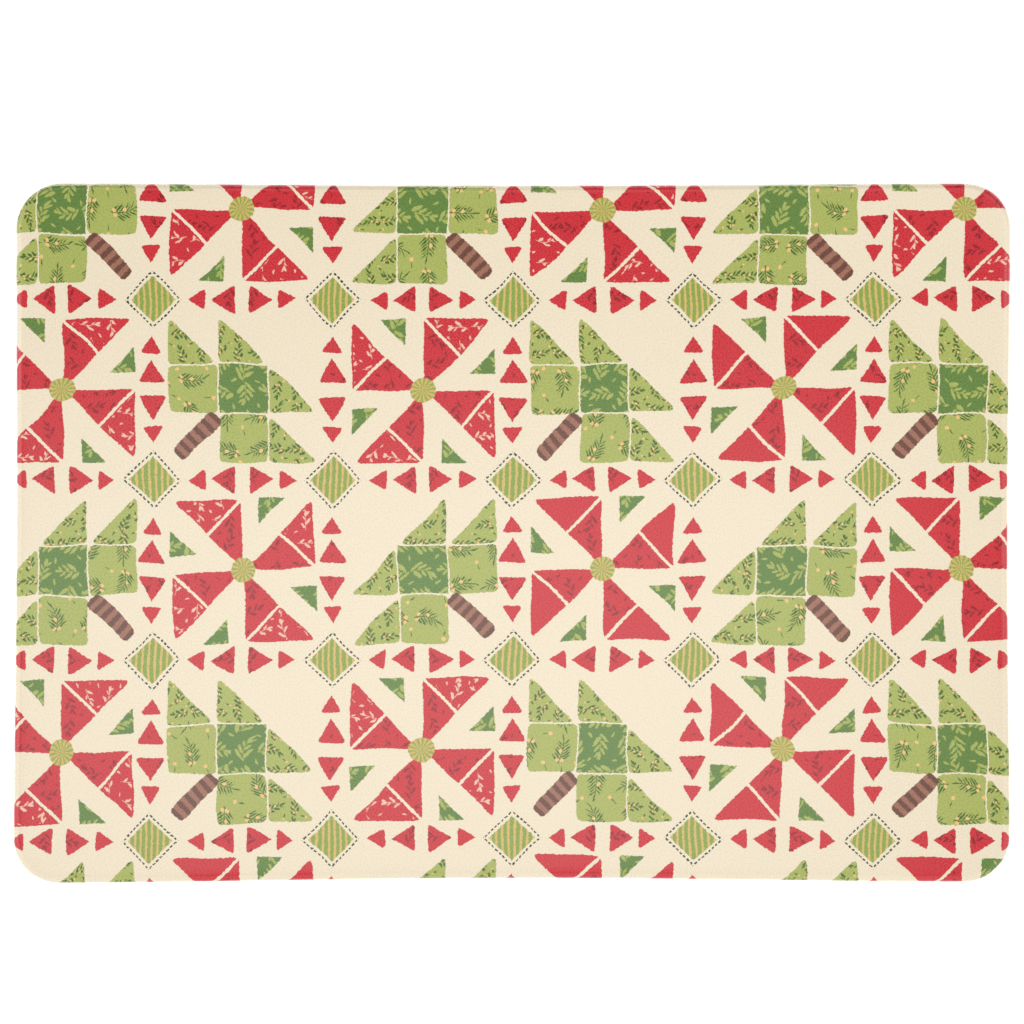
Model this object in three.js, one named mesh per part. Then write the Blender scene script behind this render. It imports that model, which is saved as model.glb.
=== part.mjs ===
// Cushioned trivet mat: one flat piece with rounded corners and a softly rolled edge.
// Millimetres. +X runs along the long side, +Y towards the back edge and +Z up.
// The origin is under the middle of the mat, on the surface that it lies on.

import * as THREE from "three";

// Driving dimensions
const MAT_LENGTH = 430;
const MAT_DEPTH = 301.6;
const MAT_THICKNESS = 5;
const CORNER_RADIUS = 19.3;

// The printed top turns over the edge in a quarter ellipse.
const ROLL_WIDTH = 3.2;
const ROLL_HEIGHT = 3;

// The side meets the underside in a small round.
const SOLE_ROUND = 1;

// How far the middle of each side draws in, which leaves the corners standing out.
const SIDE_BOW = { front: 1.8, right: 1.1, back: 0.9, left: 0.7 };

// Corners in the order of the outline. alongX and alongY say which way the corner lies
// from the middle, and inX and inY how far it sits inside the full length and depth.
const CORNERS = [
  { name: "front right", alongX: 1, alongY: -1, inX: 0.4, inY: 0.6 },
  { name: "back right", alongX: 1, alongY: 1, inX: 0, inY: 0 },
  { name: "back left", alongX: -1, alongY: 1, inX: 1.3, inY: 0 },
  { name: "front left", alongX: -1, alongY: -1, inX: 0, inY: 0 },
];

// Facets of each curve
const CORNER_STEPS = 10;
const SIDE_STEPS = 8;
const ROLL_STEPS = 6;
const SOLE_STEPS = 3;

const HALF_LENGTH = MAT_LENGTH / 2;
const HALF_DEPTH = MAT_DEPTH / 2;
const QUARTER_TURN = Math.PI / 2;

/** How much of a side's bow is felt at a place along it: all at its middle, none from the corners on. */
function bowShare(place, halfStraight) {
  const t = Math.min(Math.abs(place) / halfStraight, 1);
  return (1 - t * t) ** 2;
}

/** Takes a point of the even rounded rectangle to its place on the drawn-in outline. */
function drawIn(x, y) {
  const u = x / HALF_LENGTH;
  const v = y / HALF_DEPTH;
  const bowX = (u > 0 ? SIDE_BOW.right : SIDE_BOW.left) * bowShare(y, HALF_DEPTH - CORNER_RADIUS);
  const bowY = (v > 0 ? SIDE_BOW.back : SIDE_BOW.front) * bowShare(x, HALF_LENGTH - CORNER_RADIUS);
  const placed = new THREE.Vector2(x - u * bowX, y - v * bowY);
  for (const corner of CORNERS) {
    const share = ((1 + corner.alongX * u) * (1 + corner.alongY * v)) / 4;
    placed.x -= corner.alongX * corner.inX * share;
    placed.y -= corner.alongY * corner.inY * share;
  }
  return placed;
}

/** The outline at one height, counter-clockwise from above, set in by the given distance. */
function outline(inset) {
  const radius = CORNER_RADIUS - inset;
  const even = [];
  CORNERS.forEach((corner, index) => {
    const centreX = corner.alongX * (HALF_LENGTH - CORNER_RADIUS);
    const centreY = corner.alongY * (HALF_DEPTH - CORNER_RADIUS);
    for (let step = 0; step <= CORNER_STEPS; step += 1) {
      const angle = (index - 1 + step / CORNER_STEPS) * QUARTER_TURN;
      even.push([centreX + radius * Math.cos(angle), centreY + radius * Math.sin(angle)]);
    }
  });
  const perCorner = CORNER_STEPS + 1;
  const points = [];
  even.forEach(([x, y], index) => {
    points.push(drawIn(x, y));
    if ((index + 1) % perCorner !== 0) return;
    const [nextX, nextY] = even[(index + 1) % even.length];
    for (let step = 1; step < SIDE_STEPS; step += 1) {
      const t = step / SIDE_STEPS;
      points.push(drawIn(x + (nextX - x) * t, y + (nextY - y) * t));
    }
  });
  return points;
}

/** Heights and insets of the edge's section, from the underside up to the top face. */
function edgeSection() {
  const rows = [];
  for (let step = 0; step <= SOLE_STEPS; step += 1) {
    const angle = (step / SOLE_STEPS) * QUARTER_TURN;
    rows.push({
      height: SOLE_ROUND * (1 - Math.cos(angle)),
      inset: SOLE_ROUND * (1 - Math.sin(angle)),
    });
  }
  for (let step = 0; step <= ROLL_STEPS; step += 1) {
    const angle = (step / ROLL_STEPS) * QUARTER_TURN;
    rows.push({
      height: MAT_THICKNESS - ROLL_HEIGHT * (1 - Math.sin(angle)),
      inset: ROLL_WIDTH * (1 - Math.cos(angle)),
    });
  }
  return rows;
}

/** One closed body: the outline lofted through the edge's section, with a flat face at each end. */
function matGeometry() {
  const rows = edgeSection();
  const loops = rows.map((row) => outline(row.inset));
  const around = loops[0].length;
  const positions = [];
  rows.forEach((row, level) => {
    for (const point of loops[level]) positions.push(point.x, point.y, row.height);
  });
  const underMiddle = positions.length / 3;
  positions.push(0, 0, 0);
  const topMiddle = underMiddle + 1;
  positions.push(0, 0, MAT_THICKNESS);

  const faces = [];
  const lastLoop = (rows.length - 1) * around;
  for (let place = 0; place < around; place += 1) {
    const next = (place + 1) % around;
    for (let level = 0; level < rows.length - 1; level += 1) {
      const lower = level * around;
      const upper = lower + around;
      faces.push(lower + place, lower + next, upper + next);
      faces.push(lower + place, upper + next, upper + place);
    }
    faces.push(underMiddle, next, place);
    faces.push(topMiddle, lastLoop + place, lastLoop + next);
  }
  const geometry = new THREE.BufferGeometry();
  geometry.setAttribute("position", new THREE.Float32BufferAttribute(positions, 3));
  geometry.setIndex(faces);
  geometry.computeVertexNormals();
  return geometry;
}

/** The cream ground of the coated cloth, with its half-gloss. */
function coatedCloth() {
  return new THREE.MeshStandardMaterial({ color: 0xf4e7cf, roughness: 0.45, metalness: 0 });
}

const mat = new THREE.Mesh(matGeometry(), coatedCloth());
mat.name = "mat";

const trivetMat = new THREE.Group();
trivetMat.name = "trivet_mat";
trivetMat.add(mat);

export default trivetMat;
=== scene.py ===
"""A cushioned trivet mat with a patchwork print, lying on a pale studio floor.

The mat is one coated sheet with rounded corners, whose printed face turns over a soft roll
at its edge. The print is laid out in millimetres on the unrolled sheet: turning pinwheels
and leaf blocks in a straight grid, with arrowheads along the strips between them.
"""

import logging
import math
from dataclasses import dataclass, field
from enum import Enum
from functools import reduce
from typing import Sequence, Union

import bpy
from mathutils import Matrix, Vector, noise


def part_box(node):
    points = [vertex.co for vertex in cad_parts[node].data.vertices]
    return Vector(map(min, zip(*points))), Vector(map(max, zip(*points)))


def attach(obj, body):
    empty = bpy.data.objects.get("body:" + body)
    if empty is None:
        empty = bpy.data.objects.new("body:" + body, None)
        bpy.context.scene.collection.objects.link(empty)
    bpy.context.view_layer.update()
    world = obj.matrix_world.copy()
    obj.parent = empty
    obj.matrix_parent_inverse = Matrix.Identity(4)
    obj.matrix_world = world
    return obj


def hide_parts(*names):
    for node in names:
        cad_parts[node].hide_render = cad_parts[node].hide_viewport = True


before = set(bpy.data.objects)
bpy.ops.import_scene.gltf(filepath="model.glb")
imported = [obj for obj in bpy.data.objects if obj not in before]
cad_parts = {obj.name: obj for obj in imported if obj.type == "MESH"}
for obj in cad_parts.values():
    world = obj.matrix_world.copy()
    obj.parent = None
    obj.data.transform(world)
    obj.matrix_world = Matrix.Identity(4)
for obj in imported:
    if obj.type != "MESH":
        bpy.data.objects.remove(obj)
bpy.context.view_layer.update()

MM = 0.001
QUARTER_TURN = math.pi / 2
DIAGONAL = math.sqrt(2)
HALF_CELL = (0.5, 0.5, 0.0)
MIDDLE = (0.5, 0.5, 0.5)
WHITE = (1.0, 1.0, 1.0, 1.0)
SHEET_MAP = "sheet"

# Width of a printed edge's soft border, in millimetres
EDGE_SOFTNESS = 0.16

# Shifts that give the blocks and the buds chances of their own
BLOCK_SEED = (5.0, 11.0, 0.0)
BUD_SEED = (31.0, 17.0, 0.0)

# Layout of the node trees on screen
NODE_GAP = 190
NODES_IN_COLUMN = 10

Colour = tuple[float, float, float, float]
Number = Union["Signal", float]
Key = Union[int, str]
Inputs = dict[Key, object]

log = logging.getLogger("trivet_mat")


def ink(red: int, green: int, blue: int) -> Colour:
    """Turns a display colour into the linear colour that a shader takes.

    Args:
        red: Red from 0 to 255.
        green: Green from 0 to 255.
        blue: Blue from 0 to 255.

    Returns:
        The colour with full alpha.
    """
    def linear(level: int) -> float:
        """One channel in linear light."""
        share = level / 255
        return share / 12.92 if share <= 0.04045 else ((share + 0.055) / 1.055) ** 2.4

    return (linear(red), linear(green), linear(blue), 1.0)


class Ink(Enum):
    """The printed colours."""

    CREAM = ink(243, 229, 201)
    RED = ink(208, 40, 50)
    DEEP_RED = ink(150, 18, 32)
    BLUSH = ink(243, 200, 176)
    LEAF_GREEN = ink(173, 182, 95)
    FERN_GREEN = ink(68, 104, 36)
    MOSS_GREEN = ink(100, 133, 60)
    GOLD = ink(243, 198, 130)
    GRASS_GREEN = ink(140, 166, 76)
    STRAW = ink(222, 186, 108)
    DARK_BROWN = ink(111, 68, 53)
    LIGHT_BROWN = ink(161, 110, 88)
    STITCH_GREEN = ink(30, 54, 32)


class Signal:
    """A number, vector or colour inside a node tree, which arithmetic turns into nodes."""

    def __init__(self, wiring: "Wiring", socket: bpy.types.NodeSocket) -> None:
        """Remembers the wiring that makes the nodes, and the output that carries the value."""
        self.wiring = wiring
        self.socket = socket

    def __add__(self, other: Number) -> "Signal":
        """The sum."""
        return self.wiring.math("ADD", self, other)

    def __sub__(self, other: Number) -> "Signal":
        """The difference."""
        return self.wiring.math("SUBTRACT", self, other)

    def __rsub__(self, other: float) -> "Signal":
        """The difference from a plain number."""
        return self.wiring.math("SUBTRACT", other, self)

    def __mul__(self, other: Number) -> "Signal":
        """The product."""
        return self.wiring.math("MULTIPLY", self, other)

    def __truediv__(self, other: Number) -> "Signal":
        """The quotient."""
        return self.wiring.math("DIVIDE", self, other)

    def __neg__(self) -> "Signal":
        """The value with its sign changed."""
        return self * -1.0

    def __abs__(self) -> "Signal":
        """The value without its sign."""
        return self.wiring.math("ABSOLUTE", self)

    def floor(self) -> "Signal":
        """The whole number below."""
        return self.wiring.math("FLOOR", self)

    def fraction(self) -> "Signal":
        """What is left above the whole number below."""
        return self.wiring.math("FRACT", self)

    def over(self, limit: Number) -> "Signal":
        """One where the value is above the limit, and nought elsewhere."""
        return self.wiring.math("GREATER_THAN", self, limit)

    def inside(self, softness: float = EDGE_SOFTNESS) -> "Signal":
        """A mask of the region where a distance is negative, with a slightly soft edge."""
        return self.wiring.math("MULTIPLY_ADD", self, -1.0 / softness, 0.5, clamp=True)


class Wiring:
    """Makes the nodes of one tree and links them."""

    def __init__(self, tree: bpy.types.NodeTree) -> None:
        """Starts on the node tree that is to be filled."""
        self.tree = tree

    def node(self, kind: str, **settings: object) -> bpy.types.Node:
        """Adds a node, next to the ones before it.

        Args:
            kind: The node's type name, without its ShaderNode prefix.
            **settings: Values of the node's own properties.

        Returns:
            The new node.
        """
        made = self.tree.nodes.new("ShaderNode" + kind)
        column, line = divmod(len(self.tree.nodes), NODES_IN_COLUMN)
        made.location = (NODE_GAP * column, -NODE_GAP * line)
        for name, value in settings.items():
            setattr(made, name, value)
        return made

    def feed(self, socket: bpy.types.NodeSocket, value: object) -> None:
        """Gives a socket its value, by a link or as a constant.

        Args:
            socket: The input that is fed.
            value: A signal, or a plain number, vector or colour.
        """
        if isinstance(value, Signal):
            self.tree.links.new(value.socket, socket)
        else:
            socket.default_value = value

    def result(self, kind: str, inputs: Inputs, output: Key = 0, **settings: object) -> Signal:
        """Adds a node, feeds it and takes one of its outputs.

        Args:
            kind: The node's type name, without its ShaderNode prefix.
            inputs: What its inputs get, by their names or places.
            output: The name or place of the output.
            **settings: Values of the node's own properties.

        Returns:
            The output's value.
        """
        made = self.node(kind, **settings)
        for key, value in inputs.items():
            self.feed(made.inputs[key], value)
        return Signal(self, made.outputs[output])

    def math(self, operation: str, *values: Number, clamp: bool = False) -> Signal:
        """The result of a Math node, which can be held between nought and one."""
        return self.result("Math", dict(enumerate(values)), operation=operation, use_clamp=clamp)

    def vector(self, operation: str, *values: object, output: str = "Vector") -> Signal:
        """The result of a Vector Math node."""
        return self.result("VectorMath", dict(enumerate(values)), output, operation=operation)

    def least(self, *values: Number) -> Signal:
        """The smallest of several numbers."""
        return reduce(lambda first, other: self.math("MINIMUM", first, other), values)

    def most(self, *values: Number) -> Signal:
        """The largest of several numbers."""
        return reduce(lambda first, other: self.math("MAXIMUM", first, other), values)

    def meet(self, first: Number, second: Number, rounding: float) -> Signal:
        """The larger of two distances, rounded where they meet, as at a cut corner."""
        return self.math("SMOOTH_MAX", first, second, rounding)

    def reach(self, x: Number, y: Number) -> Signal:
        """The distance of a point from the middle of its axes."""
        return self.vector("LENGTH", self.pack(x, y), output="Value")

    def scaled(self, vector: Signal, factor: Number) -> Signal:
        """A vector times a number."""
        return self.result("VectorMath", {"Vector": vector, "Scale": factor}, operation="SCALE")

    def turned(self, vector: Signal, angle: Number) -> Signal:
        """A vector turned about the upright axis."""
        return self.result("VectorRotate", {"Vector": vector, "Angle": angle}, rotation_type="Z_AXIS")

    def pack(self, x: Number, y: Number, z: Number = 0.0) -> Signal:
        """A vector from its parts."""
        return self.result("CombineXYZ", {"X": x, "Y": y, "Z": z})

    def split(self, vector: Signal) -> tuple[Signal, Signal, Signal]:
        """The parts of a vector."""
        parts = self.result("SeparateXYZ", {0: vector}).socket.node.outputs
        return tuple(Signal(self, part) for part in parts)

    def dice(self, cell: Signal) -> Signal:
        """Three chances from nought to one that stay the same within a cell."""
        return self.result("TexWhiteNoise", {"Vector": cell}, "Color", noise_dimensions="2D")

    def cloud(self, vector: Signal, scale: float, detail: float, output: str = "Fac") -> Signal:
        """Smooth random values around a half, with the scale in lumps per millimetre."""
        inputs = {"Vector": vector, "Scale": scale, "Detail": detail}
        return self.result("TexNoise", inputs, output, noise_dimensions="2D")

    def mixed(self, mask: Number, under: object, over: object) -> Signal:
        """One colour laid over another through a mask."""
        return self.result("Mix", {"Factor": mask, 6: under, 7: over}, 2, data_type="RGBA")

    def group(self, tree: bpy.types.NodeTree, **values: object) -> dict[str, Signal]:
        """Places a node group.

        Args:
            tree: The group's tree.
            **values: Its inputs, with underscores for the spaces in their names.

        Returns:
            Its outputs by name.
        """
        made = self.node("Group", node_tree=tree)
        for name, value in values.items():
            self.feed(made.inputs[name.replace("_", " ")], value)
        return {socket.name: Signal(self, socket) for socket in made.outputs}


class Kind(Enum):
    """What a group's socket carries."""

    NUMBER = "NodeSocketFloat"
    VECTOR = "NodeSocketVector"
    COLOUR = "NodeSocketColor"


class Effect:
    """A shader node group under construction, with named inputs and outputs."""

    def __init__(self, name: str, inputs: dict[str, Kind], outputs: dict[str, Kind]) -> None:
        """Makes the empty group.

        Args:
            name: The group's name.
            inputs: The kind of each input by name.
            outputs: The kind of each output by name.
        """
        self.tree = bpy.data.node_groups.new(name, "ShaderNodeTree")
        for side, sockets in (("INPUT", inputs), ("OUTPUT", outputs)):
            for label, kind in sockets.items():
                self.tree.interface.new_socket(label, in_out=side, socket_type=kind.value)
        self.wiring = Wiring(self.tree)
        self.source = self.tree.nodes.new("NodeGroupInput")
        self.source.location = (-NODE_GAP, 0)
        self.sink = self.tree.nodes.new("NodeGroupOutput")

    def given(self, name: str) -> Signal:
        """The value of a named input."""
        return Signal(self.wiring, self.source.outputs[name])

    def put_out(self, **values: Signal) -> bpy.types.NodeTree:
        """Links the outputs.

        Args:
            **values: The outputs, with underscores for the spaces in their names.

        Returns:
            The finished group's tree.
        """
        for name, value in values.items():
            self.wiring.feed(self.sink.inputs[name.replace("_", " ")], value)
        self.sink.location = (NODE_GAP * (2 + len(self.tree.nodes) // NODES_IN_COLUMN), 0)
        return self.tree


@dataclass(frozen=True)
class HandCut:
    """How far the edges of the patches stray, in millimetres, and how many times in each."""

    sway: float = 1.9
    sways: float = 0.055
    tremor: float = 0.85
    tremors: float = 0.75

    def group(self) -> bpy.types.NodeTree:
        """Shifts a position a little, so that straight edges look cut and painted by hand.

        Returns:
            The group, from Position in millimetres and Reach, which scales the shift, to Position.
        """
        effect = Effect(
            "Hand-cut edges",
            {"Position": Kind.VECTOR, "Reach": Kind.NUMBER},
            {"Position": Kind.VECTOR},
        )
        wiring = effect.wiring
        position, reach = effect.given("Position"), effect.given("Reach")
        slow = wiring.cloud(position, self.sways, detail=0.0, output="Color")
        slow = wiring.vector("SUBTRACT", slow, MIDDLE)
        fine = wiring.cloud(position, self.tremors, detail=1.0, output="Color")
        fine = wiring.vector("SUBTRACT", fine, MIDDLE)
        shift = wiring.vector("ADD", wiring.scaled(slow, self.sway), wiring.scaled(fine, self.tremor))
        moved = wiring.vector("ADD", position, wiring.scaled(shift, reach))
        return effect.put_out(Position=moved)


@dataclass(frozen=True)
class Spray:
    """A curved spray of paired leaves. Lengths are shares of the cell that it fills."""

    turn: float = 0.8
    bend: float = 1.7
    foot: float = -0.44
    head: float = 0.24
    lean: float = math.radians(46)
    stagger: float = 0.25
    girth: float = 0.86
    taper: float = 0.8
    ripple: float = 0.12
    ripple_run: float = 31.0
    ripple_side: float = 9.0
    ripple_start: float = 6.0
    tip_overlap: float = 0.02
    stem_half_width: float = 0.013
    stem_half_length: float = 0.42
    bud_scale: float = 0.55
    bud_growth: float = 0.2
    bud_foot: float = -0.08
    berry: float = 0.055
    low_berries: tuple[float, float] = (-0.31, 0.07)
    high_berry: tuple[float, float] = (-0.02, 0.06)
    bud_berry: float = -0.15

    def group(self) -> bpy.types.NodeTree:
        """Scatters sprays, one to a cell, with buds where cells meet.

        Returns:
            The group. It puts out signed distances in millimetres, negative inside.
        """
        effect = Effect(
            "Leaf sprays",
            {
                "Position": Kind.VECTOR,
                "Pitch": Kind.NUMBER,
                "Spacing": Kind.NUMBER,
                "Leaf Length": Kind.NUMBER,
                "Leaf Width": Kind.NUMBER,
            },
            {"Leaf": Kind.NUMBER, "Berry": Kind.NUMBER},
        )
        wiring = effect.wiring
        pitch, spacing = effect.given("Pitch"), effect.given("Spacing")
        length, width = effect.given("Leaf Length"), effect.given("Leaf Width")
        grid = wiring.vector("DIVIDE", effect.given("Position"), wiring.pack(pitch, pitch, pitch))

        def lens(along: Signal, across: Signal) -> Signal:
            """Finds the distance from a pointed leaf of the given length and width.

            Args:
                along: The place along the leaf, from its foot.
                across: The place across it.

            Returns:
                The distance, negative inside.
            """
            bulge = (length * length - width * width) / (width * 4.0)
            arc = wiring.reach(along - length * 0.5, abs(across) + bulge)
            return arc - (bulge + width * 0.5)

        chance_x, chance_y, chance_z = wiring.split(wiring.dice(wiring.vector("FLOOR", grid)))
        local = wiring.vector("SUBTRACT", wiring.vector("FRACTION", grid), HALF_CELL)
        quarter_turns = (chance_z * 4.0).floor() * QUARTER_TURN
        local = wiring.turned(local, (chance_x - 0.5) * self.turn + quarter_turns)
        run, side, _ = wiring.split(local)
        side = side + run * run * (chance_y - 0.5) * self.bend

        away = abs(side)
        staggered = wiring.math("MULTIPLY_ADD", wiring.math("SIGN", side), spacing * self.stagger, run)
        row = (staggered - away / math.tan(self.lean)) / spacing
        row_place = (row.floor() + 0.5) * spacing
        across = (row.fraction() - 0.5) * spacing * math.sin(self.lean)
        phase = row_place * self.ripple_run + (side * self.ripple_side + chance_x * self.ripple_start)
        girth = self.girth - row_place * self.taper + wiring.math("SINE", phase) * self.ripple
        leaf_middle, leaf_reach = (self.foot + self.head) / 2, (self.head - self.foot) / 2
        missing = abs(row_place - leaf_middle).over(leaf_reach)
        paired = lens(away / math.sin(self.lean) / girth, across / girth) * girth + missing
        tip = lens(run - (self.head - self.tip_overlap), side)
        stem = wiring.most(away - self.stem_half_width, abs(run) - self.stem_half_length)

        corner = wiring.vector("FLOOR", wiring.vector("ADD", grid, HALF_CELL))
        bud_turn, bud_size, _ = wiring.split(wiring.dice(wiring.vector("ADD", corner, BUD_SEED)))
        bud_local = wiring.turned(wiring.vector("SUBTRACT", grid, corner), bud_turn * math.tau)
        bud_run, bud_side, _ = wiring.split(bud_local)
        bud_scale = bud_size * self.bud_growth + self.bud_scale
        bud = lens((bud_run - self.bud_foot) / bud_scale, bud_side / bud_scale) * bud_scale

        low_run, low_side = self.low_berries
        high_run, high_side = self.high_berry
        low = wiring.reach(away - low_side, run - low_run)
        lone = wiring.reach(bud_run - self.bud_berry, bud_side)
        high = wiring.reach(side - high_side, run - high_run)
        berries = wiring.least(low, lone, high) - self.berry
        leaf = wiring.least(paired, tip, stem, bud)
        return effect.put_out(Leaf=leaf * pitch, Berry=berries * pitch)


@dataclass(frozen=True)
class Stripes:
    """Even stripes: pitch and soft border in millimetres, and half the share that they cover."""

    pitch: float
    half_share: float
    softness: float = EDGE_SOFTNESS

    def mask(self, run: Signal) -> Signal:
        """The mask of the stripes, along a distance in millimetres."""
        from_middle = abs((run / self.pitch).fraction() - 0.5) - self.half_share
        return (from_middle * self.pitch).inside(self.softness)


@dataclass(frozen=True)
class Arrow:
    """An arrowhead: where its foot and tip lie from its strip's middle, and half its foot's width."""

    foot: float
    tip: float
    half_width: float


@dataclass(frozen=True)
class QuiltPlan:
    """Sizes of the patchwork layout, in millimetres.

    The middle and half length of the leaf's stem are in patches.
    """

    pitch: float = 78.0
    shift: tuple[float, float, float] = (39.0, -16.0, 0.0)
    off_centre: float = 1.2
    askew: float = math.radians(3.0)
    seam: float = 0.32
    rounding: float = 4.0
    pinwheel: float = 62.6
    cut_back: float = 0.35
    border: float = 0.75
    fill_gap: float = 9.0
    fill_foot: float = 7.4
    fill_rounding: float = 0.8
    hub: float = 5.4
    gathers: int = 14
    leaf: float = 64.8
    stem_half_width: float = 3.5
    stem_middle: float = 1.32
    stem_half_length: float = 0.56
    bark: Stripes = Stripes(4.4, 0.25, 0.5)
    large_arrow: Arrow = Arrow(3.0, 13.4, 6.5)
    small_arrow: Arrow = Arrow(15.8, 23.2, 4.8)
    arrow_rounding: float = 2.8
    crossing: float = 7.0
    ticking: Stripes = Stripes(2.6, 0.19, 0.3)
    stitch_gap: float = 1.5
    stitch_half_width: float = 0.34
    stitches: Stripes = Stripes(2.9, 0.31)

    def block_places(self) -> bpy.types.NodeTree:
        """Finds the block that a place on the sheet falls in.

        Returns:
            The group: the position in the cell, the position in the slightly askew block,
            which of the two blocks it is, and a chance of its own.
        """
        effect = Effect(
            "Block places",
            {"Position": Kind.VECTOR},
            {"Cell": Kind.VECTOR, "Block": Kind.VECTOR, "Leafy": Kind.NUMBER, "Chance": Kind.NUMBER},
        )
        wiring = effect.wiring
        moved = wiring.vector("SUBTRACT", effect.given("Position"), self.shift)
        in_cells = wiring.scaled(moved, 1 / self.pitch)
        index = wiring.vector("FLOOR", wiring.vector("ADD", in_cells, HALF_CELL))
        cell = wiring.vector("SUBTRACT", moved, wiring.scaled(index, self.pitch))
        column, line, _ = wiring.split(index)
        leafy = abs(wiring.math("MODULO", column + line, 2.0))
        dice = wiring.dice(wiring.vector("ADD", index, BLOCK_SEED))
        askew, chance, _ = wiring.split(dice)
        off_centre = wiring.vector("SUBTRACT", dice, MIDDLE)
        block = wiring.vector("ADD", cell, wiring.scaled(off_centre, self.off_centre))
        block = wiring.turned(block, (askew - 0.5) * self.askew)
        side, up, _ = wiring.split(block)
        flip = 1.0 - abs(wiring.math("MODULO", line, 2.0)) * 2.0
        block = wiring.pack(side * flip, up)
        return effect.put_out(Cell=cell, Block=block, Leafy=leafy, Chance=chance)

    def pinwheel_block(self) -> bpy.types.NodeTree:
        """A turning pinwheel of four pieced blades about a round hub, with a triangle in each gap.

        Returns:
            The group, with the mask of each cloth and of the blades within their plain border.
        """
        outputs = ("Inner", "Outer", "Within", "Fill", "Hub", "Gathers")
        effect = Effect("Pinwheel block", {"Position": Kind.VECTOR}, dict.fromkeys(outputs, Kind.NUMBER))
        wiring = effect.wiring
        position = effect.given("Position")
        half = self.pinwheel / 2
        x, y, _ = wiring.split(position)
        angle = wiring.math("ARCTAN2", y, x)
        quarter = (angle / QUARTER_TURN).floor()
        blade_x, blade_y, _ = wiring.split(wiring.turned(position, quarter * -QUARTER_TURN))
        lean = (blade_y - blade_x) / DIAGONAL
        blade = wiring.meet(lean, blade_x - half, self.rounding)
        blade = wiring.meet(blade, -blade_y, self.rounding)
        cut = (blade_x + blade_y - half) / DIAGONAL
        inner = wiring.most(blade, cut + self.seam)
        outer = wiring.most(blade, self.seam - cut)
        fill = wiring.meet(self.fill_gap - lean, self.fill_foot - blade_x, self.fill_rounding)
        fill = wiring.meet(fill, blade_y - half, self.fill_rounding)
        hub = wiring.reach(x, y) - self.hub
        return effect.put_out(
            Inner=(inner + self.cut_back).inside(),
            Outer=(outer + self.cut_back).inside(),
            Within=(wiring.least(inner, outer) + (self.cut_back + self.border)).inside(),
            Fill=fill.inside(),
            Hub=hub.inside(),
            Gathers=wiring.math("SINE", angle * self.gathers) * 0.5 + 0.5,
        )

    def leaf_block(self) -> bpy.types.NodeTree:
        """A leaf pieced from a nine-patch: three squares, four pointed teeth and a slanting stem.

        Returns:
            The group, with the mask of each cloth and the run of the stem in millimetres.
        """
        outputs = ("Heart", "Arms", "Teeth", "Stem", "Stem Run")
        effect = Effect("Leaf block", {"Position": Kind.VECTOR}, dict.fromkeys(outputs, Kind.NUMBER))
        wiring = effect.wiring
        patch, seam = self.leaf / 3, self.seam
        x, y, _ = wiring.split(effect.given("Position"))
        mirrored = (x + y).over(0.0)
        right = wiring.math("MULTIPLY_ADD", mirrored, x + y, -y)
        upper = wiring.math("MULTIPLY_ADD", mirrored, x + y, -x)

        half = patch / 2
        tooth_x = ((right + half) / patch).fraction() * patch
        tooth_y = upper - half
        tooth = wiring.meet((tooth_y - tooth_x) / DIAGONAL + seam, seam - tooth_y, self.rounding)
        tooth = wiring.meet(tooth, tooth_x - (patch - seam), self.rounding)
        teeth = wiring.most(tooth, -right - half, right - 3 * half)
        square_y = abs(upper) - (half - seam)
        heart = wiring.most(square_y, right - (half - seam))
        arm = wiring.meet(square_y, abs(right - patch) - (half - seam), self.rounding)
        across = (right + upper) / DIAGONAL
        along = (right - upper) / DIAGONAL
        stem_end = abs(along - self.stem_middle * patch) - self.stem_half_length * patch
        stem = wiring.meet(across - self.stem_half_width, stem_end, self.rounding)
        return effect.put_out(
            Heart=heart.inside(),
            Arms=arm.inside(),
            Teeth=teeth.inside(),
            Stem=stem.inside(),
            Stem_Run=along,
        )

    def arrow_strips(self) -> bpy.types.NodeTree:
        """Arrowheads along the strips between blocks, pointing at a striped patch at each crossing.

        Returns:
            The group, with the mask of each cloth.
        """
        outputs = ("Large Arrow", "Small Arrow", "Crossing", "Stitches")
        effect = Effect("Arrow strips", {"Position": Kind.VECTOR}, dict.fromkeys(outputs, Kind.NUMBER))
        wiring = effect.wiring
        x, y, _ = wiring.split(wiring.vector("ABSOLUTE", effect.given("Position")))
        across = self.pitch / 2 - wiring.most(x, y)
        along = wiring.least(x, y)

        def arrowhead(size: Arrow) -> Signal:
            """Finds the distance from a triangle that points along its strip.

            Args:
                size: The triangle's measures.

            Returns:
                The distance, negative inside.
            """
            slope = size.half_width / (size.tip - size.foot)
            flank = (across - (size.tip - along) * slope) / math.hypot(1, slope)
            return wiring.meet(flank, size.foot - along, self.arrow_rounding)

        gap = self.pitch / 2 - along
        crossing = (across + gap) / DIAGONAL - self.crossing
        seam_line = abs(crossing - self.stitch_gap) - self.stitch_half_width
        return effect.put_out(
            Large_Arrow=arrowhead(self.large_arrow).inside(),
            Small_Arrow=arrowhead(self.small_arrow).inside(),
            Crossing=crossing.inside(),
            Stitches=seam_line.inside() * self.stitches.mask(gap - across),
        )


@dataclass(frozen=True)
class Calico:
    """A printed cloth: its ground, the leaves scattered on it and how they are drawn."""

    ground: Ink
    figure: Ink
    pitch: float = 12.0
    spacing: float = 0.22
    leaf_length: float = 0.34
    leaf_width: float = 0.13
    berries: float = 0.0
    figure_strength: float = 1.0

    def drawing(self) -> Colour:
        """The spray's pitch, spacing and leaf length, packed as a colour."""
        return (self.pitch, self.spacing, self.leaf_length, 1.0)

    def amounts(self) -> Colour:
        """The leaf's width, and how strongly berries and figure show, packed as a colour."""
        return (self.leaf_width, self.berries, self.figure_strength, 1.0)


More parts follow.
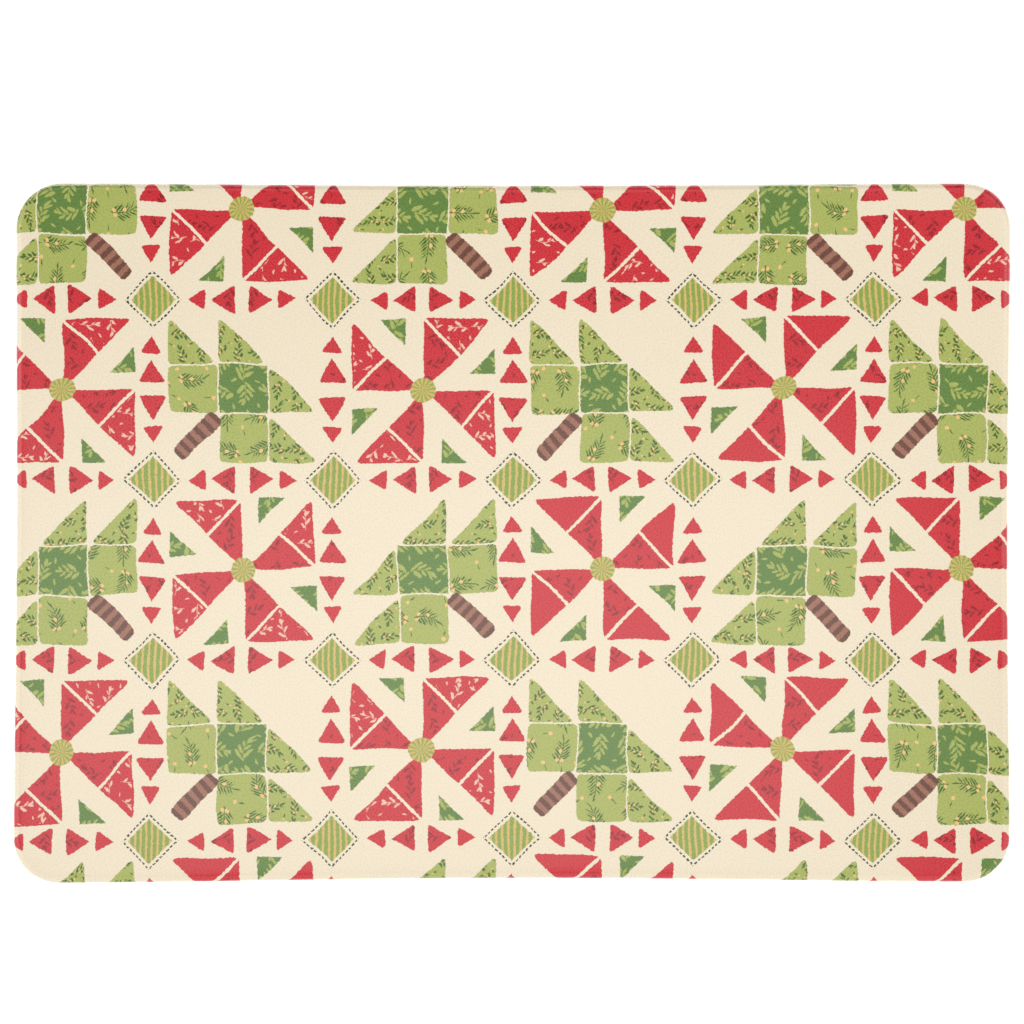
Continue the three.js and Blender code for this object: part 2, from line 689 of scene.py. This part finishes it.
GROUND_CLOTH = Calico(Ink.CREAM, Ink.CREAM, figure_strength=0.0)
SPRIG_CLOTH = Calico(
    Ink.LEAF_GREEN, Ink.FERN_GREEN, pitch=8.2, spacing=0.28, leaf_length=0.32, leaf_width=0.118,
    berries=1.0,
)
FERN_CLOTH = Calico(
    Ink.LEAF_GREEN, Ink.FERN_GREEN, pitch=14.6, spacing=0.105, leaf_length=0.31, leaf_width=0.046,
    berries=1.0,
)
VINE_CLOTH = Calico(
    Ink.MOSS_GREEN, Ink.LEAF_GREEN, pitch=11.0, spacing=0.27, leaf_length=0.39, leaf_width=0.13,
)
RED_SPRIG_CLOTH = Calico(
    Ink.RED, Ink.DEEP_RED, pitch=9.8, spacing=0.34, leaf_length=0.36, leaf_width=0.118,
)
RED_SEED_CLOTH = Calico(
    Ink.RED, Ink.BLUSH, pitch=9.4, spacing=0.4, leaf_length=0.34, leaf_width=0.118,
)
RED_FELT = Calico(Ink.RED, Ink.RED, figure_strength=0.0)

# The mask and the cloth of each patch, from the lowest up
Patches = Sequence[tuple[Signal, Calico]]


@dataclass(frozen=True)
class PatchworkPrint:
    """The whole print: blocks and strips on cream, each patch cut from its own calico."""

    plan: QuiltPlan = QuiltPlan()
    hand: HandCut = HandCut()
    spray: Spray = Spray()
    figure_softness: float = 0.22
    swap_chance: float = 0.5

    def group(self) -> bpy.types.NodeTree:
        """Lays the cloths and trimmings over each other.

        Returns:
            The group, from Position in millimetres on the sheet to Color.
        """
        effect = Effect("Patchwork print", {"Position": Kind.VECTOR}, {"Color": Kind.COLOUR})
        wiring, plan = effect.wiring, self.plan
        flat = effect.given("Position")
        wobbly = wiring.group(self.hand.group(), Position=flat, Reach=1.0)["Position"]
        place = wiring.group(plan.block_places(), Position=wobbly)
        leafy = place["Leafy"]
        wheel_here = 1.0 - leafy
        wheel = wiring.group(plan.pinwheel_block(), Position=place["Block"])
        leaf = wiring.group(plan.leaf_block(), Position=place["Block"])
        strips = wiring.group(plan.arrow_strips(), Position=place["Cell"])

        swapped = place["Chance"].over(1 - self.swap_chance)
        inner, outer = wheel["Inner"] * wheel_here, wheel["Outer"] * wheel_here
        patches: Patches = (
            (inner, RED_SPRIG_CLOTH),
            (outer, RED_FELT),
            (outer * swapped, RED_SEED_CLOTH),
            (wheel["Fill"] * wheel_here, VINE_CLOTH),
            (leaf["Teeth"] * leafy, SPRIG_CLOTH),
            (leaf["Arms"] * leafy, FERN_CLOTH),
            (leaf["Heart"] * leafy, VINE_CLOTH),
            (strips["Large Arrow"], RED_SPRIG_CLOTH),
            (strips["Small Arrow"], RED_FELT),
        )
        plain_border = (inner + outer) * (1.0 - wheel["Within"])
        colour = self.printed_cloths(wiring, wobbly, patches, plain_border)

        stripes = plan.bark.mask(leaf["Stem Run"])
        bark = wiring.mixed(stripes, Ink.DARK_BROWN.value, Ink.LIGHT_BROWN.value)
        colour = wiring.mixed(leaf["Stem"] * leafy, colour, bark)
        hub = wiring.mixed(wheel["Gathers"], Ink.GRASS_GREEN.value, Ink.STRAW.value)
        colour = wiring.mixed(wheel["Hub"] * wheel_here, colour, hub)
        across, _, _ = wiring.split(wobbly)
        ticking = wiring.mixed(plan.ticking.mask(across), Ink.GRASS_GREEN.value, Ink.STRAW.value)
        colour = wiring.mixed(strips["Crossing"], colour, ticking)
        colour = wiring.mixed(strips["Stitches"], colour, Ink.STITCH_GREEN.value)
        return effect.put_out(Color=colour)

    def printed_cloths(self, wiring: Wiring, place: Signal, patches: Patches, plain: Signal) -> Signal:
        """Prints each patch with the ground and the leaves of its own cloth, over plain cream.

        Args:
            wiring: The wiring of the whole print.
            place: The position in millimetres.
            patches: The mask and the cloth of each patch, from the lowest up.
            plain: The mask of the borders that stay without leaves.

        Returns:
            The colour.
        """
        ground: object = GROUND_CLOTH.ground.value
        figure: object = GROUND_CLOTH.figure.value
        drawing: object = GROUND_CLOTH.drawing()
        amounts: object = GROUND_CLOTH.amounts()
        for mask, cloth in patches:
            ground = wiring.mixed(mask, ground, cloth.ground.value)
            figure = wiring.mixed(mask, figure, cloth.figure.value)
            drawing = wiring.mixed(mask, drawing, cloth.drawing())
            amounts = wiring.mixed(mask, amounts, cloth.amounts())

        pitch, spacing, leaf_length = wiring.split(drawing)
        leaf_width, berries, strength = wiring.split(amounts)
        sprays = wiring.group(
            self.spray.group(), Position=place, Pitch=pitch, Spacing=spacing,
            Leaf_Length=leaf_length, Leaf_Width=leaf_width,
        )
        leaves = sprays["Leaf"].inside(self.figure_softness) * (strength * (1.0 - plain))
        gold = sprays["Berry"].inside(self.figure_softness) * berries
        return wiring.mixed(gold, wiring.mixed(leaves, ground, figure), Ink.GOLD.value)


@dataclass(frozen=True)
class FineGrain:
    """The pebbles of the coating and the brushed clouds of the inks, in lumps per millimetre."""

    pebbles: float = 1.25
    clouds: float = 0.05
    pebble_share: float = 0.75

    def group(self) -> bpy.types.NodeTree:
        """Makes the grain, which is the height of the pebbles and a mottle of both.

        Returns:
            The group, from Position in millimetres to Height and Mottle, both around a half.
        """
        outputs = ("Height", "Mottle")
        effect = Effect("Fine grain", {"Position": Kind.VECTOR}, dict.fromkeys(outputs, Kind.NUMBER))
        wiring, position = effect.wiring, effect.given("Position")
        pebbles = wiring.cloud(position, self.pebbles, detail=1.0)
        clouds = wiring.cloud(position, self.clouds, detail=1.0)
        mottle = clouds * (1 - self.pebble_share) + pebbles * self.pebble_share
        return effect.put_out(Height=pebbles, Mottle=mottle)


class Finish:
    """A material under construction, on the sheet's own map where it has a grain."""

    def __init__(self, name: str) -> None:
        """Makes the material with its plain shader.

        Args:
            name: The material's name.
        """
        self.material = bpy.data.materials.new(name)
        self.material.use_nodes = True
        self.wiring = Wiring(self.material.node_tree)
        self.shader = self.material.node_tree.nodes["Principled BSDF"]

    def set(self, **values: object) -> None:
        """Feeds the shader's inputs, with underscores for the spaces in their names."""
        for name, value in values.items():
            self.wiring.feed(self.shader.inputs[name.replace("_", " ")], value)

    def position(self) -> Signal:
        """The place on the unrolled sheet, in millimetres."""
        return self.wiring.scaled(self.wiring.result("UVMap", {}, uv_map=SHEET_MAP), 1 / MM)

    def raise_grain(self, height: Signal, reach: float) -> None:
        """Raises the grain out of the surface, by at most the reach in metres."""
        self.set(Normal=self.wiring.result("Bump", {"Height": height, "Distance": reach}))


@dataclass(frozen=True)
class CoatedPrint:
    """The finish of the printed face: inks under a grained, half-gloss coating."""

    roughness: float = 0.28
    roughness_change: float = 0.15
    refraction: float = 1.65
    grain_height: float = 0.006 * MM
    mottle: float = 0.22
    evenest_blue: float = 0.75
    artwork: PatchworkPrint = PatchworkPrint()

    def material(self, grain_group: bpy.types.NodeTree) -> bpy.types.Material:
        """Builds the material. The mottle is strongest in the dark inks, which hold little blue.

        Args:
            grain_group: The grain that the finishes share.

        Returns:
            The finished material.
        """
        finish = Finish("coated_print")
        wiring, position = finish.wiring, finish.position()
        printed = wiring.group(self.artwork.group(), Position=position)["Color"]
        grain = wiring.group(grain_group, Position=position)
        _, _, blue = wiring.split(printed)
        depth_of_ink = self.evenest_blue - blue
        unevenness = grain["Mottle"] - 0.5
        toned = wiring.scaled(printed, unevenness * depth_of_ink * self.mottle + 1.0)
        finish.set(
            Base_Color=toned,
            Roughness=unevenness * self.roughness_change + self.roughness,
            IOR=self.refraction,
        )
        finish.raise_grain(grain["Height"], self.grain_height)
        return finish.material


@dataclass(frozen=True)
class PlainBacking:
    """The finish of the underside: plain pale backing with a soft, even grain."""

    tone: Colour = ink(214, 204, 184)
    mottle: float = 0.5
    roughness: float = 0.85
    grain_height: float = 0.08 * MM

    def material(self, grain_group: bpy.types.NodeTree) -> bpy.types.Material:
        """Builds the material.

        Args:
            grain_group: The grain that the finishes share.

        Returns:
            The finished material.
        """
        finish = Finish("plain_backing")
        wiring = finish.wiring
        grain = wiring.group(grain_group, Position=finish.position())
        lightness = (grain["Mottle"] - 0.5) * self.mottle + 1.0
        tone = wiring.scaled(wiring.pack(*self.tone[:3]), lightness)
        finish.set(Base_Color=tone, Roughness=self.roughness)
        finish.raise_grain(grain["Height"], self.grain_height)
        return finish.material


@dataclass(frozen=True)
class PaleFloor:
    """The finish of the studio floor, which glows a little so that the ground stays white."""

    tone: Colour = (0.93, 0.93, 0.93, 1.0)
    roughness: float = 0.9
    sheen: float = 0.2
    glow: float = 0.45

    def material(self) -> bpy.types.Material:
        """Builds the material.

        Returns:
            The finished material.
        """
        finish = Finish("pale_floor")
        finish.set(
            Base_Color=self.tone,
            Roughness=self.roughness,
            Specular_IOR_Level=self.sheen,
            Emission_Color=WHITE,
            Emission_Strength=self.glow,
        )
        return finish.material


@dataclass(frozen=True)
class Corner:
    """A corner of the mat: the way it lies from the middle, and how far it sits inside."""

    along_x: int
    along_y: int
    in_x: float = 0.0
    in_y: float = 0.0


@dataclass
class TrivetMat:
    """The mat: one sheet with rounded corners, an edge roll and a small round at the sole."""

    length: float = 430 * MM
    depth: float = 301.6 * MM
    thickness: float = field(default_factory=lambda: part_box("mat")[1].z)
    corner_radius: float = 19.3 * MM
    roll_width: float = 3.2 * MM
    roll_height: float = 3.0 * MM
    sole_round: float = 1.0 * MM
    backing_height: float = 0.3 * MM
    grid_step: float = 6.0 * MM
    cut_merge: float = 0.001 * MM
    corner_steps: int = 18
    roll_steps: int = 8
    sole_steps: int = 4
    unroll_steps: int = 24
    lump: float = 70 * MM
    unevenness: float = 0.12 * MM
    still_share: float = 0.4
    bow_front: float = 1.8 * MM
    bow_right: float = 1.1 * MM
    bow_back: float = 0.9 * MM
    bow_left: float = 0.7 * MM
    corners: tuple[Corner, ...] = (
        Corner(1, -1, 0.4 * MM, 0.6 * MM),
        Corner(1, 1),
        Corner(-1, 1, 1.3 * MM),
        Corner(-1, -1),
    )

    def build(self) -> bpy.types.Object:
        """Models the sheet, maps it and moves it to its uneven shape.

        Returns:
            The finished piece.
        """
        piece = self.rounded_plate()
        self.cut_in_squares()
        self.mark_underside(piece)
        self.unroll(piece)
        self.make_uneven(piece)
        bpy.ops.object.shade_smooth()
        return piece

    def rounded_plate(self) -> bpy.types.Object:
        """Shapes the even plate: rounded outline, edge roll, wall, sole round and underside.

        Returns:
            The plate, selected and active.
        """
        bpy.ops.object.select_all(action="DESELECT")
        bpy.ops.mesh.primitive_plane_add(size=1.0)
        piece = bpy.context.active_object
        piece.name = piece.data.name = "trivet_mat"
        bpy.ops.object.mode_set(mode="EDIT")
        bpy.ops.mesh.select_mode(type="VERT")
        bpy.ops.transform.resize(value=(self.length, self.depth, 1.0))
        rolled_from = self.thickness - self.roll_height
        bpy.ops.transform.translate(value=(0.0, 0.0, rolled_from))
        bpy.ops.mesh.bevel(
            offset=self.corner_radius, segments=self.corner_steps, affect="VERTICES", profile=0.5,
        )
        bpy.ops.mesh.select_mode(type="FACE")
        bpy.ops.mesh.select_all(action="SELECT")
        self.step_in(self.roll_steps, self.roll_width, self.roll_height)
        bpy.ops.mesh.select_mode(type="EDGE")
        bpy.ops.mesh.select_all(action="DESELECT")
        bpy.ops.mesh.select_non_manifold()
        drop = rolled_from - self.sole_round
        bpy.ops.mesh.extrude_region_move(TRANSFORM_OT_translate={"value": (0.0, 0.0, -drop)})
        bpy.ops.mesh.edge_face_add()
        bpy.ops.mesh.select_all(action="SELECT")
        bpy.ops.mesh.normals_make_consistent(inside=False)
        bpy.ops.mesh.select_all(action="DESELECT")
        bpy.ops.object.mode_set(mode="OBJECT")
        lowest = min(piece.data.polygons, key=lambda face: face.center.z)
        lowest.select = True
        bpy.ops.object.mode_set(mode="EDIT")
        bpy.ops.mesh.select_mode(type="FACE")
        self.step_in(self.sole_steps, self.sole_round, self.sole_round)
        bpy.ops.object.mode_set(mode="OBJECT")
        return piece

    @staticmethod
    def step_in(steps: int, width: float, height: float) -> None:
        """Insets the selected face along a quarter ellipse.

        Args:
            steps: How many rings make the curve.
            width: How far in the curve runs in all.
            height: How far out of the face's plane it rises in all.
        """
        turn = QUARTER_TURN / steps
        for step in range(steps):
            inward = width * (math.cos(step * turn) - math.cos((step + 1) * turn))
            rise = height * (math.sin((step + 1) * turn) - math.sin(step * turn))
            bpy.ops.mesh.inset(thickness=inward, depth=rise, use_even_offset=True)

    def cut_in_squares(self) -> None:
        """Cuts the active plate across and along, so that its faces can bow and undulate."""
        bpy.ops.object.mode_set(mode="EDIT")
        for axis, size in ((0, self.length), (1, self.depth)):
            cuts = math.floor(size / self.grid_step)
            for cut in range(1, cuts):
                place, normal = Vector((0, 0, 0)), Vector((0, 0, 0))
                place[axis] = size * (cut / cuts - 0.5)
                normal[axis] = 1.0
                bpy.ops.mesh.select_all(action="SELECT")
                bpy.ops.mesh.bisect(plane_co=place, plane_no=normal, threshold=self.cut_merge)
        bpy.ops.mesh.select_all(action="DESELECT")
        bpy.ops.object.mode_set(mode="OBJECT")

    def mark_underside(self, piece: bpy.types.Object) -> None:
        """Gives the second finish to the faces below the printed sheet's turned edge."""
        for face in piece.data.polygons:
            face.material_index = 1 if face.center.z < self.backing_height else 0

    def unroll(self, piece: bpy.types.Object) -> None:
        """Maps the underside as it lies, and the printed face as it was before its edge was rolled.

        Args:
            piece: The even plate.
        """
        layer = piece.data.uv_layers.new(name=SHEET_MAP)
        for face in piece.data.polygons:
            for loop in face.loop_indices:
                point = piece.data.vertices[piece.data.loops[loop].vertex_index].co
                layer.data[loop].uv = point.xy if face.material_index else self.place_on_sheet(point)

    def place_on_sheet(self, point: Vector) -> Vector:
        """Finds where a point of the printed face lay before the edge was rolled.

        Args:
            point: The point on the even plate.

        Returns:
            Its place from the middle of the flat sheet, in metres.
        """
        core = Vector((self.length / 2 - self.corner_radius, self.depth / 2 - self.corner_radius))
        nearest = Vector((max(-core.x, min(core.x, point.x)), max(-core.y, min(core.y, point.y))))
        offset = point.xy - nearest
        flat_reach = self.corner_radius - self.roll_width
        if offset.length <= flat_reach:
            return point.xy
        return nearest + offset.normalized() * (flat_reach + self.roll_run(point.z))

    def roll_run(self, height: float) -> float:
        """Finds how far the sheet has run over the edge when it is down to a height.

        Args:
            height: The point's height over the surface that the mat lies on.

        Returns:
            The length along the section from the rim of the top face.
        """
        rise = height - (self.thickness - self.roll_height)
        lowest = math.asin(max(0.0, min(1.0, rise / self.roll_height)))
        turn = (QUARTER_TURN - lowest) / self.unroll_steps
        curve = 0.0
        for step in range(self.unroll_steps):
            angle = lowest + turn * (step + 0.5)
            out, down = self.roll_width * math.sin(angle), self.roll_height * math.cos(angle)
            curve += turn * math.hypot(out, down)
        return curve + max(0.0, -rise)

    def make_uneven(self, piece: bpy.types.Object) -> None:
        """Draws the sides in, sets each corner in its place and lets the top undulate.

        Args:
            piece: The even plate.
        """
        straight_x = self.length / 2 - self.corner_radius
        straight_y = self.depth / 2 - self.corner_radius
        for vertex in piece.data.vertices:
            x, y, z = vertex.co
            u, v = x / (self.length / 2), y / (self.depth / 2)
            share_x = (1 - min(abs(x) / straight_x, 1) ** 2) ** 2
            share_y = (1 - min(abs(y) / straight_y, 1) ** 2) ** 2
            x -= u * (self.bow_right if u > 0 else self.bow_left) * share_y
            y -= v * (self.bow_back if v > 0 else self.bow_front) * share_x
            for corner in self.corners:
                share = (1 + corner.along_x * u) * (1 + corner.along_y * v) / 4
                x -= corner.along_x * corner.in_x * share
                y -= corner.along_y * corner.in_y * share
            lift = noise.noise(Vector((x, y, 0.0)) / self.lump) * self.unevenness
            z += lift * max(0.0, z / self.thickness - self.still_share) / (1 - self.still_share)
            vertex.co = (x, y, z)

    def dress(self, piece: bpy.types.Object) -> None:
        """Gives the piece its finishes, hangs it under the root body and hides the imported mat.

        Args:
            piece: The finished mesh.
        """
        grain = FineGrain().group()
        piece.data.materials.append(CoatedPrint().material(grain))
        piece.data.materials.append(PlainBacking().material(grain))
        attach(piece, "root")
        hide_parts("mat")


@dataclass
class Softbox:
    """A rectangular studio light that shines at a point."""

    name: str
    place: tuple[float, float, float]
    size: tuple[float, float]
    power: float
    aim: tuple[float, float, float] = (0.0, 0.0, 0.0)

    def set_up(self) -> None:
        """Adds the light."""
        lamp = bpy.data.lights.new(self.name, "AREA")
        lamp.shape = "RECTANGLE"
        lamp.size, lamp.size_y = self.size
        lamp.energy = self.power
        holder = bpy.data.objects.new(self.name, lamp)
        holder.location = self.place
        beam = Vector(self.aim) - Vector(self.place)
        holder.rotation_euler = beam.to_track_quat("-Z", "Y").to_euler()
        holder.visible_camera = False
        bpy.context.scene.collection.objects.link(holder)


@dataclass
class Studio:
    """The pale floor, the soft lights and the camera straight above."""

    floor_half: float = 6.0
    camera_height: float = 2.0
    frame_width: float = 442.3 * MM
    frame_centre_y: float = 9.2 * MM
    sensor: float = 36.0
    farthest: float = 50.0
    sky_strength: float = 0.135
    front_glow: float = 2.5
    front_focus: float = 2.0
    side_glow: float = 4.5
    side_focus: float = 4.0
    right_bias: float = -1.0
    backdrop_strength: float = 1.0
    lights: tuple[Softbox, ...] = (
        Softbox("overhead_softbox", (-0.065, -0.085, 0.6), (0.57, 0.3), 0.85, (-0.065, -0.085, 0.0)),
        Softbox("back_softbox", (0.25, 0.45, 0.66), (1.6, 0.4), 1.65, (0.12, 0.03, 0.0)),
        Softbox("left_softbox", (-0.85, -0.05, 0.55), (1.0, 0.8), 1.25),
        Softbox("right_softbox", (0.75, -0.12, 0.7), (1.0, 0.7), 1.5, (0.1, -0.05, 0.0)),
    )

    def set_up(self) -> None:
        """Makes the floor, sky, lights and camera."""
        self.lay_floor()
        self.hang_sky()
        for light in self.lights:
            light.set_up()
        self.place_camera()
        settings = bpy.context.scene.view_settings
        settings.view_transform = "Standard"
        settings.look = "None"

    def lay_floor(self) -> None:
        """Adds the pale floor."""
        bpy.ops.object.select_all(action="DESELECT")
        bpy.ops.mesh.primitive_plane_add(size=2 * self.floor_half)
        floor = bpy.context.active_object
        floor.name = floor.data.name = "floor"
        floor.data.materials.append(PaleFloor().material())

    def hang_sky(self) -> None:
        """Sets a pale surround that glows from the front and the sides, a little over the floor."""
        world = bpy.data.worlds.new("studio_surround")
        world.use_nodes = True
        wiring = Wiring(world.node_tree)
        background = world.node_tree.nodes["Background"]
        background.inputs["Color"].default_value = WHITE
        way = wiring.result("TexCoord", {}, "Generated")
        across, along, height = wiring.split(wiring.vector("NORMALIZE", way))
        front = wiring.math("POWER", wiring.most(-along, 0.0), self.front_focus) * self.front_glow
        sides = wiring.math("POWER", abs(across), self.side_focus)
        sides = sides * (across * self.right_bias + self.side_glow)
        glow = (front + sides) * wiring.most(height, 0.0) + self.sky_strength
        seen = wiring.result("LightPath", {}, "Is Camera Ray")
        strength = wiring.math("MULTIPLY_ADD", seen, self.backdrop_strength - glow, glow)
        wiring.feed(background.inputs["Strength"], strength)
        bpy.context.scene.world = world

    def place_camera(self) -> None:
        """Hangs the camera straight above, at the photograph's framing."""
        camera = bpy.data.cameras.new("camera")
        camera.sensor_width = self.sensor
        camera.lens = self.sensor * self.camera_height / self.frame_width
        camera.clip_end = self.farthest
        holder = bpy.data.objects.new("camera", camera)
        holder.location = (0.0, self.frame_centre_y, self.camera_height)
        bpy.context.scene.collection.objects.link(holder)
        bpy.context.scene.camera = holder


def main() -> None:
    """Builds the mat and its studio, in order."""
    logging.basicConfig(level=logging.INFO, format="%(name)s: %(message)s")
    mat = TrivetMat()
    piece = mat.build()
    mat.dress(piece)
    log.info("%s: %d faces", piece.name, len(piece.data.polygons))
    studio = Studio()
    studio.set_up()
    log.info("studio: %d lights", len(studio.lights))


if __name__ == "__main__":
    main()
